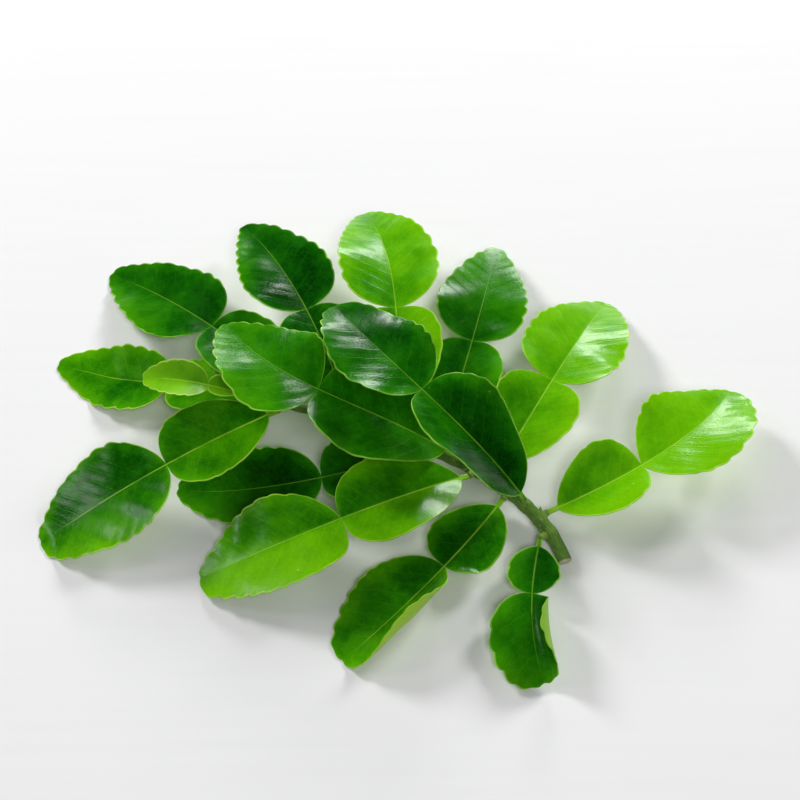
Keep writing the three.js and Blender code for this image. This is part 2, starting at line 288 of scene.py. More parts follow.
class Paint:
    """One material and the nodes that dress it."""

    def __init__(self, name: str, constants: dict[str, Any]) -> None:
        """Starts a material whose shader holds the constants.

        Args:
            name: the material's name.
            constants: values set straight on the Principled shader's sockets.
        """
        self.material = bpy.data.materials.new(name)
        self.material.use_nodes = True
        self.tree = self.material.node_tree
        self.shader = next(n for n in self.tree.nodes if n.bl_idname == "ShaderNodeBsdfPrincipled")
        for key, value in constants.items():
            self.shader.inputs[key].default_value = value

    def node(self, kind: str, settings: dict[str, Any], inputs: dict[Any, Any], output: Any = 0) -> Signal:
        """Adds any node.

        Args:
            kind: the node's type.
            settings: its properties, set first.
            inputs: socket name or number to a Signal, which is linked, or to a value.
            output: the output that is wanted.

        Returns:
            That output.
        """
        made = self.tree.nodes.new(kind)
        for key, value in settings.items():
            setattr(made, key, value)
        for key, value in inputs.items():
            if isinstance(value, Signal):
                self.tree.links.new(value.socket, made.inputs[key])
            else:
                made.inputs[key].default_value = value
        return Signal(self, made.outputs[output])

    def math(self, operation: str, *values: Value) -> Signal:
        """Adds a Math node of that operation on the values."""
        return self.node("ShaderNodeMath", {"operation": operation}, dict(enumerate(values)))

    def attribute(self, name: str) -> Signal:
        """Reads a number that the mesh carries."""
        return self.node("ShaderNodeAttribute", {"attribute_name": name}, {}, "Fac")

    def ramp(self, value: Value, low: float, high: float, to: tuple[float, float] = (0.0, 1.0)) -> Signal:
        """Maps a value from one range to another with a smooth step.

        Args:
            value: what is mapped.
            low: start of its range.
            high: end of its range.
            to: what the start and the end become.

        Returns:
            The mapped value, held at the ends.
        """
        settings = {"interpolation_type": "SMOOTHSTEP"}
        inputs = {"Value": value, "From Min": low, "From Max": high, "To Min": to[0], "To Max": to[1]}
        return self.node("ShaderNodeMapRange", settings, inputs)

    def vector(self, x: Value, y: Value, z: Value) -> Signal:
        """Puts three numbers into a vector."""
        return self.node("ShaderNodeCombineXYZ", {}, {0: x, 1: y, 2: z})

    def noise(self, vector: Signal, scale: float, detail: float = 2.0, roughness: float = 0.5) -> Signal:
        """Smooth noise about 0.5."""
        inputs = {"Vector": vector, "Scale": scale, "Detail": detail, "Roughness": roughness}
        return self.node("ShaderNodeTexNoise", {}, inputs, "Fac")

    def cells(self, vector: Signal, scale: float, feature: str, randomness: float = 1.0) -> Signal:
        """Voronoi distance."""
        inputs = {"Vector": vector, "Scale": scale, "Randomness": randomness}
        return self.node("ShaderNodeTexVoronoi", {"feature": feature}, inputs, "Distance")

    def object_place(self) -> Signal:
        """Object coordinates."""
        return self.node("ShaderNodeTexCoord", {}, {}, "Object")

    def mix(self, factor: Signal, a: Union[Signal, Colour], b: Union[Signal, Colour]) -> Signal:
        """Mixes two colours; the Mix node has them at inputs 6 and 7, and its colour at output 2."""
        a, b = (c if isinstance(c, Signal) else (*c, 1.0) for c in (a, b))
        return self.node("ShaderNodeMix", {"data_type": "RGBA"}, {0: factor, 6: a, 7: b}, 2)

    def blend(self, factors: Signal, a: Colour, b: Colour) -> Signal:
        """Mixes two colours, as inputs 4 and 5, by a factor of its own for each of red, green and blue."""
        settings = {"data_type": "VECTOR", "factor_mode": "NON_UNIFORM"}
        return self.node("ShaderNodeMix", settings, {1: factors, 4: a, 5: b}, 1)

    def feed(self, key: str, value: Signal) -> None:
        """Links a signal into the shader."""
        self.tree.links.new(value.socket, self.shader.inputs[key])

    def bump(self, height: Signal, distance: float = MM) -> None:
        """Feeds a height, in units of distance, into the shader's normal."""
        self.feed("Normal", self.node("ShaderNodeBump", {}, {"Height": height, "Distance": distance}))


@dataclass(frozen=True)
class LeafPattern:
    """What a leaf's skin shows: scales in cells to a millimetre, then the relief's heights in millimetres."""

    broad: float = 0.026
    speck: float = 0.075
    patch: float = 0.09
    # Scale of the noise that wears the midrib and breaks up the painted glint of light on the margin
    wear_and_glint_scale: float = 0.12
    drift: float = 0.16
    mottle: float = 0.50
    net: float = 0.55
    gland: float = 1.15
    grain: float = 1.6
    streak_height: float = 0.05
    vein_depth: float = 0.020
    net_depth: float = 0.006
    gland_height: float = 0.012
    grain_height: float = 0.070
    drift_height: float = 0.05
    vein_ridge: float = 0.05
    net_ridge: float = 0.02


@dataclass(frozen=True)
class LeafLevel:
    """How much each thing adds to the level of green, which runs from shade at 0 to light at 1."""

    drop: float = 0.33
    # How much the half's own value adds: the leaf's green, with painted shade that darkens one half
    fresh: float = 0.85
    broad: float = 0.32
    drift: float = 0.26
    patch: float = 0.14
    # Painted glow of light through the thin edge: how much the level rises at the margin, and over how many
    # millimetres
    margin: float = 0.20
    margin_reach: float = 8.0
    tip: float = 0.12
    tip_from: float = 0.62
    full: float = 1.15
    highest: float = 0.91
    mottle: float = 0.30
    gland: float = 0.09
    vein: float = 0.07
    net: float = 0.035


class LeafMarks:
    """The attributes and patterns of a leaf that its colour, gloss and relief share."""

    def __init__(self, paint: Paint, pattern: LeafPattern) -> None:
        """Lays the patterns out in the leaf's own plan, along and across the midrib.

        The run along the midrib lags more and more with the distance from it. A lateral vein lies where that
        run, in spacings, is halfway between two whole numbers, so veins slant to the tip, and streaks follow
        them.

        Args:
            paint: the leaf's material.
            pattern: the patterns' scales.
        """
        along, across, seed = (paint.attribute(name) for name in ("along", "across", "seed"))
        self.share, self.edge = paint.attribute("share"), paint.attribute("edge")
        self.upper, self.fresh = paint.attribute("upper"), paint.attribute("fresh")
        self.far = paint.math("ABSOLUTE", across)
        self.place = paint.vector(along, across, seed)
        left = paint.math("GREATER_THAN", across, 0.0)
        self.broad = paint.noise(self.place, pattern.broad, 1.0)
        self.drift = paint.noise(self.place, pattern.drift, 2.0)
        run = along - self.far * VEIN_SLANT - self.far * self.far * VEIN_BEND
        order = run / VEIN_SPACING + self.drift * 0.5 + left * VEIN_STAGGER + seed
        from_vein = paint.math("ABSOLUTE", paint.math("FRACT", order) - 0.5) * VEIN_SPACING
        self.veins = paint.ramp(from_vein, 0.05, 0.42, (1.0, 0.0)) * paint.ramp(self.edge, 0.6, 5.0)
        walls = paint.cells(self.place, pattern.net, "DISTANCE_TO_EDGE")
        self.net = paint.ramp(walls, 0.0, 0.12, (1.0, 0.0))
        dots = paint.cells(self.place, pattern.gland, "F1", 0.9)
        self.glands = paint.ramp(dots, 0.12, 0.34, (1.0, 0.0))
        self.grain = paint.noise(self.place, pattern.grain, 2.0, 0.6)
        self.mottle = paint.noise(self.place, pattern.mottle, 3.0, 0.75)
        self.patches = paint.ramp(paint.noise(self.place, pattern.patch, 3.0, 0.6), 0.35, 0.68)
        rib_half = (1.0 - self.share) * 0.32 + 0.06
        fading = paint.ramp(self.share, 0.80, 0.95, (1.0, 0.10))
        self.rib = paint.ramp(self.far / rib_half, 0.55, 1.35, (1.0, 0.0)) * fading
        self.streaks = paint.noise(paint.vector(order * 3.0, self.far * 0.05, seed), 1.0, 3.0, 0.65)


@dataclass(frozen=True)
class LeafFinish:
    """The skin of a double leaf: glossy above, matt and pale below."""

    slot: Green
    shade: Colour
    light: Colour
    # Colour of the painted glint of light along the margin
    rim_glint: Colour
    rib: Colour
    under: Colour
    under_bright: Colour
    roughness: float
    red_power: float
    rib_strength: float = 0.62
    speck: Colour = (0.52, 0.58, 0.20)
    coat: float = 0.13
    pattern: LeafPattern = LeafPattern()
    level: LeafLevel = LeafLevel()

    def material(self) -> bpy.types.Material:
        """Builds the leaf material: the two faces' greens, the gloss and the relief.

        Returns:
            The material.
        """
        paint = Paint(self.slot.value, {"Specular IOR Level": 0.32, "Coat Roughness": 0.13})
        marks = LeafMarks(paint, self.pattern)
        above, below = self.upper_green(paint, marks), self.lower_green(paint, marks)
        paint.feed("Base Color", paint.mix(marks.upper, below, above))
        gloss = self.roughness + (marks.streaks - 0.5) * 0.10 + marks.patches * 0.05 + marks.rib * 0.10
        paint.feed("Roughness", gloss + (1.0 - marks.upper) * 0.28)
        paint.feed("Coat Weight", marks.upper * self.coat * (1.0 - marks.rib * 0.6))
        paint.bump(self.relief(paint, marks))
        return paint.material

    def upper_green(self, paint: Paint, marks: LeafMarks) -> Signal:
        """Colours the upper face.

        A sum of the half's own value, which is the leaf's green with painted shade on one half, and of noise,
        raised towards the tip and, as a painted glow of light through the thin edge, towards the margin, is
        mapped to a level from 0 to 1, to which a mottle, the net, the oil glands and the veins add a little.
        Colour goes from shade to light by that level; red goes by a power of it, so that the darker parts are a
        purer green. Over it lie a few specks, the midrib, worn in places, and a thin bright margin that is a
        painted glint of light, broken in places by the same noise.

        Args:
            paint: the leaf's material.
            marks: its patterns.

        Returns:
            The colour.
        """
        part = self.level
        lit = paint.ramp(marks.broad, 0.32, 0.70) * part.broad + marks.patches * part.patch
        # The half's own value carries painted shade on one half as well as the leaf's own green
        lit = lit + marks.drift * part.drift + marks.fresh * part.fresh - part.drop
        # Painted light: the level rises near the margin as a glow of light through the thin edge
        lit = lit + paint.ramp(marks.edge, 0.0, part.margin_reach, (part.margin, 0.0))
        lit = lit + paint.ramp(marks.share, part.tip_from, 1.0, (0.0, part.tip))
        level = paint.ramp(lit, 0.0, part.full, (0.0, part.highest)) + (marks.mottle - 0.5) * part.mottle
        level = level + marks.net * part.net + marks.glands * part.gland + marks.veins * part.vein
        level = paint.math("MINIMUM", paint.math("MAXIMUM", level, 0.0), 1.0)
        red = paint.math("POWER", level, self.red_power)
        tone = paint.blend(paint.vector(red, level, level), self.shade, self.light)
        specks = paint.ramp(paint.cells(marks.place, self.pattern.speck, "F1"), 0.018, 0.040, (0.70, 0.0))
        tone = paint.mix(specks * paint.ramp(marks.patches, 0.4, 0.8), tone, self.speck)
        # One noise wears the midrib and breaks up the painted glint of light on the margin
        wear_and_glint = paint.ramp(paint.noise(marks.place, self.pattern.wear_and_glint_scale, 2.0), 0.30, 0.62, (0.45, 1.0))
        tone = paint.mix(marks.rib * wear_and_glint * self.rib_strength, tone, self.rib)
        # Painted highlight: a thin bright glint of light along the margin
        rim_glint = paint.ramp(marks.edge, 0.22, 0.80, (1.0, 0.0))
        return paint.mix(rim_glint * (wear_and_glint - 0.18), tone, self.rim_glint)

    def lower_green(self, paint: Paint, marks: LeafMarks) -> Signal:
        """Colours the lower face: two pale greens by broad noise, with paler veins, net and midrib."""
        pale = paint.mix(paint.ramp(marks.broad, 0.35, 0.65) * 0.6, self.under, self.under_bright)
        return paint.mix(marks.veins * 0.35 + marks.net * 0.18 + marks.rib * 0.6, pale, self.rib)

    def relief(self, paint: Paint, marks: LeafMarks) -> Signal:
        """Adds the heights up.

        Above, streaks fade out at midrib and margin, veins and net are sunk, and glands, grain and drift are
        raised; below, veins and net stand out.

        Args:
            paint: the leaf's material.
            marks: its patterns.

        Returns:
            The height in millimetres.
        """
        part = self.pattern
        fade = paint.ramp(marks.far, 0.3, 1.8) * paint.ramp(marks.edge, 0.3, 2.5)
        above = marks.streaks * fade * part.streak_height - marks.veins * part.vein_depth
        above = above - marks.net * part.net_depth + marks.glands * part.gland_height
        above = above + marks.grain * part.grain_height + marks.drift * part.drift_height
        below = marks.veins * part.vein_ridge + marks.net * part.net_ridge
        return above * marks.upper + below * (1.0 - marks.upper)


@dataclass(frozen=True)
class BarkFinish:
    """Young green bark with fine stripes and pale pores, and a pale cut end with its pith."""

    bark: Colour = (0.075, 0.20, 0.022)
    stripe: Colour = (0.16, 0.30, 0.05)
    pore: Colour = (0.36, 0.40, 0.20)
    cushion: Colour = (0.24, 0.40, 0.06)
    wood: Colour = (0.55, 0.52, 0.30)
    pith: Colour = (0.74, 0.73, 0.56)

    def material(self) -> bpy.types.Material:
        """Builds the bark: stripes along the twig, pores as small cells, and rings on the cut end.

        Returns:
            The material.
        """
        paint = Paint("twig_bark", {"Specular IOR Level": 0.45})
        along, turn = paint.attribute("along"), paint.attribute("turn")
        cut, reach, swelling = paint.attribute("cut"), paint.attribute("reach"), paint.attribute("swelling")
        skin = paint.vector(along * 0.18, turn * 2.2, 0.0)
        stripes = paint.noise(skin, 2.2, 3.0, 0.6)
        tone = paint.mix(paint.ramp(stripes, 0.36, 0.66), self.bark, self.stripe)
        spots = paint.cells(paint.vector(along * 0.32, turn * 0.9, 3.0), 1.0, "F1")
        pores = paint.ramp(spots, 0.09, 0.17, (1.0, 0.0))
        tone = paint.mix(pores * 0.75, tone, self.pore)
        tone = paint.mix(swelling * 0.75, tone, self.cushion)
        grain = paint.noise(paint.object_place(), 1800.0, 2.0)
        rings = paint.mix(paint.ramp(reach, 0.28, 0.36), self.pith, self.wood)
        rings = paint.mix(grain * 0.3, rings, (0.40, 0.36, 0.16))
        rings = paint.mix(paint.ramp(reach, 0.86, 0.94), rings, self.bark)
        paint.feed("Base Color", paint.mix(cut, tone, rings))
        paint.feed("Roughness", 0.42 + stripes * 0.16 + cut * 0.25)
        paint.bump(stripes * 0.12 + pores * 0.07 + grain * cut * 0.05)
        return paint.material


@dataclass(frozen=True)
class FloorFinish:
    """A plain pale sheet."""

    colour: Colour = (0.92, 0.92, 0.925)
    darkest: float = 0.965
    stretch: tuple[float, float, float] = (3.0, 60.0, 1.0)

    def material(self) -> bpy.types.Material:
        """Builds the sheet: nearly even colour with a faint grain along X."""
        paint = Paint("pale_sheet", {"Roughness": 0.6, "Specular IOR Level": 0.25})
        inputs = {"Vector": paint.object_place(), "Scale": self.stretch}
        grain = paint.noise(paint.node("ShaderNodeMapping", {}, inputs), 4.0, 3.0)
        darker = tuple(c * self.darkest for c in self.colour)
        paint.feed("Base Color", paint.mix(grain, self.colour, darker))
        return paint.material


# Sub-assemblies


@dataclass(frozen=True)
class Leaf:
    """One double leaf's place and form; angles in degrees, lengths in millimetres.

    fresh is how bright the left and the right half are: the leaf's own green, with painted
    shade that makes one half darker than the other; along is where on the twig's curve the leaf sits; turn,
    pitch and roll follow the midrib; wing and blade are length and width; left and right shape the blade's
    halves at base and tip; fold lifts the halves, of wing and blade; curl bends them, wing left and right,
    then blade left and right; wave is height, waves a leaf and phase.
    """

    name: str
    green: Green
    fresh: tuple[float, float]
    along: float
    heading: float
    turn: tuple[float, float]
    pitch: tuple[float, float, float]
    roll: tuple[float, float, float]
    wing: tuple[float, float]
    blade: tuple[float, float]
    left: tuple[float, float]
    right: tuple[float, float]
    fold: tuple[float, float]
    curl: tuple[float, float, float, float]
    wave: tuple[float, float, float]


DEEP, FRESH, YOUNG = Green.DEEP, Green.FRESH, Green.YOUNG

# Each leaf's first pair sets its halves: the leaf's own green, with painted shade that makes one half darker
# than the other
LEAVES = (
    Leaf("leaf_01", DEEP, (0.38, 0.46), 0.1, 257, (8, 26), (6, 0, -18), (0, 0, 6), (19, 19),
         (34, 30), (0.7, 0.9), (0.5, 0.55), (16, 10), (10, 0, 168, -10), (0.8, 2.5, 0.4)),
    Leaf("leaf_02", FRESH, (0.84, 1.0), 0.155, 18, (12, 34), (16, 8, -24), (0, -8, -6), (33, 31),
         (52, 39), (0.72, 1.1), (0.6, 0.75), (24, 14), (-8, -10, -6, -12), (0.9, 2.6, 2.2)),
    Leaf("leaf_03", DEEP, (0.32, 0.20), 0.215, 147, (-9, -18), (52, 14, -18), (0, 10, 6), (51, 36),
         (50, 36), (0.48, 0.85), (0.42, 0.75), (26, 8), (-4, -14, -6, -6), (1.6, 3.2, 1.4)),
    Leaf("leaf_04", FRESH, (0.42, 0.24), 0.275, 236, (-8, -8), (2, -4, -10), (0, 6, 0), (30, 27),
         (50, 36), (0.85, 0.9), (0.45, 0.65), (8, 8), (0, -6, 106, -4), (0.8, 2.4, 5.1)),
    Leaf("leaf_05", FRESH, (0.74, 0.88), 0.335, 57, (4, 4), (19, -1, -35), (0, 0, 0), (37, 32),
         (56, 37), (0.42, 0.95), (0.42, 0.85), (14, 12), (-6, -6, -10, -10), (0.9, 2.7, 0.9)),
    Leaf("leaf_06", FRESH, (0.88, 0.42), 0.39, 209, (-8, -8), (20, -6, -26), (0, 0, 0), (46, 33),
         (55, 36), (0.22, 0.48), (0.72, 1.05), (15, 11), (-6, -6, -8, -8), (0.9, 2.5, 3.6)),
    Leaf("leaf_07", DEEP, (0.56, 0.50), 0.45, 163, (-10, -38), (36, 4, -12), (0, 6, 6), (50, 42),
         (48, 40), (0.36, 0.9), (0.6, 1.1), (14, 8), (-6, -8, -6, -6), (1.3, 2.8, 4.4)),
    Leaf("leaf_08", DEEP, (0.50, 0.60), 0.495, 74, (2, 4), (4, -2, -15), (0, 0, 0), (42, 29),
         (52, 34), (0.48, 1.0), (0.4, 1.0), (12, 12), (-6, -6, -8, -8), (0.8, 2.6, 3.9)),
    Leaf("leaf_09", DEEP, (0.42, 0.28), 0.545, 198, (-9, -20), (0, -8, -12), (0, 0, 0), (30, 26),
         (54, 33), (0.5, 0.9), (0.55, 0.75), (12, 10), (0, 0, -6, -6), (0.7, 2.5, 2.9)),
    Leaf("leaf_10", FRESH, (0.70, 0.84), 0.62, 85, (9, 20), (22, 3, -32), (0, 0, 0), (42, 33),
         (60, 37), (0.42, 0.8), (0.5, 0.95), (14, 12), (-6, -6, -8, -8), (0.9, 2.5, 1.9)),
    Leaf("leaf_11", DEEP, (0.34, 0.24), 0.74, 107, (7, 11), (12, -1, -20), (0, 0, 0), (41, 30),
         (56, 34), (0.5, 1.1), (0.4, 0.9), (12, 11), (-4, -4, -8, -8), (0.9, 2.6, 4.8)),
    Leaf("leaf_12", DEEP, (0.52, 0.42), 0.86, 131, (6, 7), (-1, -9, -20), (0, 0, 0), (46, 30),
         (56, 35), (0.45, 0.9), (0.38, 0.75), (14, 11), (-4, -4, -8, -8), (0.9, 2.6, 5.8)),
    Leaf("leaf_13", FRESH, (0.56, 0.38), 0.915, 211, (-3, -4), (6, -10, -30), (0, 0, 0), (40, 32),
         (54, 38), (0.42, 0.62), (0.62, 0.98), (14, 10), (-4, -4, -8, -8), (0.8, 2.4, 0.2)),
    Leaf("leaf_14", FRESH, (0.54, 0.66), 0.965, 160, (2, 2), (-10, -14, -16), (0, 0, 0), (34, 24),
         (48, 30), (0.5, 1.0), (0.55, 0.9), (12, 10), (-4, -4, -8, -8), (0.8, 2.5, 3.1)),
    Leaf("young_leaf", YOUNG, (0.7, 0.5), 1, 178, (-2, 4), (28, 16, -4), (0, -6, -8), (11, 9),
         (24, 15), (0.45, 0.7), (0.5, 0.75), (24, 20), (8, 8, 10, 10), (0.2, 2, 0)),
)


@dataclass
class Twig:
    """The green stem: a swept round section with node swellings, leaf cushions, axil buds and one cut end."""

    route: Array = field(default_factory=lambda: np.array(
        [[62.0, -62.0, 2.2], [51.0, -25.0, 6.0], [-9.0, -12.0, 15.0], [-48.0, -4.0, 18.0]]
    ))
    cut_radius: float = 2.4
    tip_radius: float = 1.2
    swell_at_cut: float = 0.5
    swell_at_tip: float = 0.25
    node_reach: float = 0.022
    petiole_gap: float = 1.0
    slant_gap: float = 1.6
    rings: int = 300
    sides: int = 36
    length: float = 128.0
    ridge_count: int = 5
    ridge_height: float = 0.035
    ridge_twist: float = 9.0
    cut_hollow: float = 0.12
    cut_lip: float = 0.02
    tip_dome: float = 1.2
    cushion_foot: float = 0.72
    cushion_collar: float = 1.22
    bud_length: float = 2.3
    bud_radius: float = 0.78

    def point(self, along: Any) -> Array:
        """The cubic Bezier curve of the route.

        Args:
            along: share of the curve's parameter, 0 at the cut end and 1 at the tip.

        Returns:
            The points there.
        """
        t = np.asarray(along, float)[..., None]
        a, b, c, d = self.route
        return a * (1 - t) ** 3 + 3 * b * t * (1 - t) ** 2 + 3 * c * t * t * (1 - t) + d * t ** 3

    def tangent(self, along: Any) -> Array:
        """The curve's direction, from its derivative.

        Args:
            along: share of the curve's parameter.

        Returns:
            The unit vectors there, towards the tip.
        """
        t = np.asarray(along, float)[..., None]
        a, b, c, d = self.route
        return unit((b - a) * (1 - t) ** 2 + 2 * (c - b) * t * (1 - t) + (d - c) * t * t)

    def radius(self, along: Any) -> Array:
        """The stem's radius: an even taper plus bell-shaped swellings at the leaves, their sum capped at one.

        Args:
            along: share of the curve's parameter.

        Returns:
            The radius there.
        """
        t = np.asarray(along, float)
        nodes = np.array([leaf.along for leaf in LEAVES])
        bells = np.exp(-(((t[..., None] - nodes) / self.node_reach) ** 2)).sum(-1)
        swell = lerp(self.swell_at_cut, self.swell_at_tip, t) * np.minimum(bells, 1)
        return lerp(self.cut_radius, self.tip_radius, t) + swell

    def axil(self, leaf: Leaf) -> tuple[Array, Array, float, float]:
        """Finds where a leaf leaves the stem.

        Args:
            leaf: the leaf.

        Returns:
            The axis point, the outward direction, the stem's radius and the slant of the leaf along the stem.
        """
        centre = self.point(leaf.along)
        way = direction(np.radians(leaf.heading), np.radians(leaf.pitch[0]))
        if leaf.along == 1:
            return centre, way, 0.0, 0.0
        tangent = self.tangent(leaf.along)
        slant = float(way @ tangent)
        return centre, unit(way - tangent * slant), float(self.radius(leaf.along)), slant

    def leaf_base(self, leaf: Leaf) -> Array:
        """Returns the point where the leaf's own petiole starts."""
        centre, outward, radius, slant = self.axil(leaf)
        return centre + outward * (radius + self.petiole_gap + self.slant_gap * slant * slant)

    def values(self, shape: tuple[int, int], **given: Array) -> dict[str, Array]:
        """Fills in the bark's attributes.

        Args:
            shape: rings and points round.
            **given: the attributes that aren't zero, in a form that spreads to the shape.

        Returns:
            Every attribute as an array of that shape.
        """
        return {
            name: np.broadcast_to(given.get(name, 0.0), shape).astype(float)
            for name in ("along", "turn", "cut", "reach", "swelling")
        }

    def stem(self) -> Shell:
        """Sweeps the stem.

        A ring's radius follows radius(), with low ridges that turn slowly round the stem. The first rings
        lie in the cut end, slightly hollow, and grow from the pith to the bark; the last close in a dome.

        Returns:
            The stem's shell.
        """
        face = np.array([0.05, 0.3, 0.6, 0.85, 0.96])
        run = np.linspace(0, 1, self.rings)
        dome = np.linspace(0.15, 1.0, 8) * math.pi / 2
        along = np.concatenate([np.zeros(len(face)), run, np.ones(len(dome))])
        grow = np.concatenate([face, np.ones(len(run)), np.cos(dome)])
        hollow = self.cut_hollow * (1 - face**2) + self.cut_lip
        bulge = np.sin(dome) * self.tip_radius * self.tip_dome
        push = np.concatenate([hollow, np.zeros(len(run)), bulge])
        turn = np.arange(self.sides) * 2 * math.pi / self.sides
        tangent = self.tangent(along)
        left = unit(np.stack([-tangent[:, 1], tangent[:, 0], np.zeros(len(along))], -1))
        up = np.cross(tangent, left)
        ridges = np.cos(self.ridge_count * turn[None] + self.ridge_twist * along[:, None])
        out = (self.radius(along) * grow)[:, None] * (1 + self.ridge_height * ridges)
        start_round = smoothstep(along, 0.0, 0.004)[:, None] * 0.04 + 0.96
        out = out * np.where(grow[:, None] == 1, start_round, 1.0)
        centre = self.point(along) + tangent * push[:, None]
        rings = rings_round(centre, left, up, turn, out)
        nodes = np.array([leaf.along for leaf in LEAVES])
        near = np.exp(-(((along[:, None] - nodes) / (self.node_reach * 0.5)) ** 2)).max(1)
        values = self.values(
            rings.shape[:2],
            along=along[:, None] * self.length,
            turn=turn[None],
            cut=(np.arange(len(along)) < len(face)).astype(float)[:, None],
            reach=grow[:, None],
            swelling=near[:, None] * 0.35,
        )
        start = self.point(0.0) + self.tangent(0.0) * (self.cut_hollow + self.cut_lip)
        end = self.point(1.0) + self.tangent(1.0) * self.tip_radius * (self.tip_dome + 0.02)
        return Shell.from_rings(rings, start, end, values)

    def tube(self, path: Array, radius: Array, swelling: float, sides: int = 20) -> Shell:
        """Sweeps a round tube along a short path, used for cushions and buds.

        Args:
            path: points as (rings, 3).
            radius: one radius a ring.
            swelling: the value of the swelling attribute.
            sides: points round a ring.

        Returns:
            The tube's shell, closed by the path's first and last point.
        """
        tangent = unit(np.gradient(path, axis=0))
        helper = np.array([0.0, 0.0, 1.0]) if abs(tangent[0, 2]) < 0.9 else np.array([1.0, 0.0, 0.0])
        left = unit(np.cross(helper, tangent))
        up = np.cross(tangent, left)
        turn = np.arange(sides) * 2 * math.pi / sides
        rings = rings_round(path, left, up, turn, radius[:, None])
        values = self.values(
            rings.shape[:2],
            along=np.arange(len(path))[:, None] * 0.3,
            turn=turn[None],
            swelling=np.array(swelling),
        )
        return Shell.from_rings(rings, path[0], path[-1], values)

    def cushion(self, leaf: Leaf) -> Shell:
        """The swelling that carries a leaf.

        Its axis is the Hermite curve that leaves the stem straight outwards and meets the petiole in the
        petiole's own direction; its radius runs from a foot a share of the stem's radius to a collar just
        wider than the petiole.

        Args:
            leaf: the leaf.

        Returns:
            The cushion's shell.
        """
        centre, outward, radius, _ = self.axil(leaf)
        way = direction(np.radians(leaf.heading), np.radians(leaf.pitch[0]))
        start = centre + outward * radius * 0.35
        end = self.leaf_base(leaf) + way * 0.55
        t = np.linspace(0, 1, 16)[:, None]
        pull = np.linalg.norm(end - start)
        curve = (
            start * (2 * t**3 - 3 * t**2 + 1)
            + outward * pull * (t**3 - 2 * t**2 + t)
            + end * (3 * t**2 - 2 * t**3)
            + way * pull * (t**3 - t**2)
        )
        share = t[:, 0]
        foot = self.cushion_foot * (radius or self.tip_radius)
        rounded = np.sqrt(1 - np.clip((share - 0.82) / 0.2, 0, 1) ** 2 * 0.5)
        width = lerp(foot, self.cushion_collar, smoothstep(share, 0.0, 0.7)) * rounded
        return self.tube(curve, width, 1.0)

    def bud(self, leaf: Leaf) -> Shell:
        """A small pointed bud in the axil, on the side of the growing tip.

        Its radius is a sine bell drawn out to a point.

        Args:
            leaf: the leaf below it.

        Returns:
            The bud's shell.
        """
        centre, outward, radius, _ = self.axil(leaf)
        tangent = self.tangent(leaf.along)
        start = centre + outward * radius * 0.7 + tangent * 1.5
        way = unit(outward * 0.8 + tangent)
        t = np.linspace(0.0, 1.0, 14)
        path = start + way * (t * self.bud_length)[:, None]
        bell = np.sin(math.pi * np.clip(t * 0.86 + 0.12, 0, 1)) ** 0.8
        width = self.bud_radius * bell * (1 - 0.45 * t)
        return self.tube(path, np.maximum(width, 0.03), 0.8, 14)

    def build(self, finish: BarkFinish) -> bpy.types.Object:
        """Builds stem, cushions and buds as one dressed piece.

        Args:
            finish: the bark.

        Returns:
            The twig object.
        """
        shell = self.stem()
        for leaf in LEAVES:
            shell = shell.joined(self.cushion(leaf))
            if leaf.along < 1:
                shell = shell.joined(self.bud(leaf))
        return shell.to_object("twig_fine", finish.material())


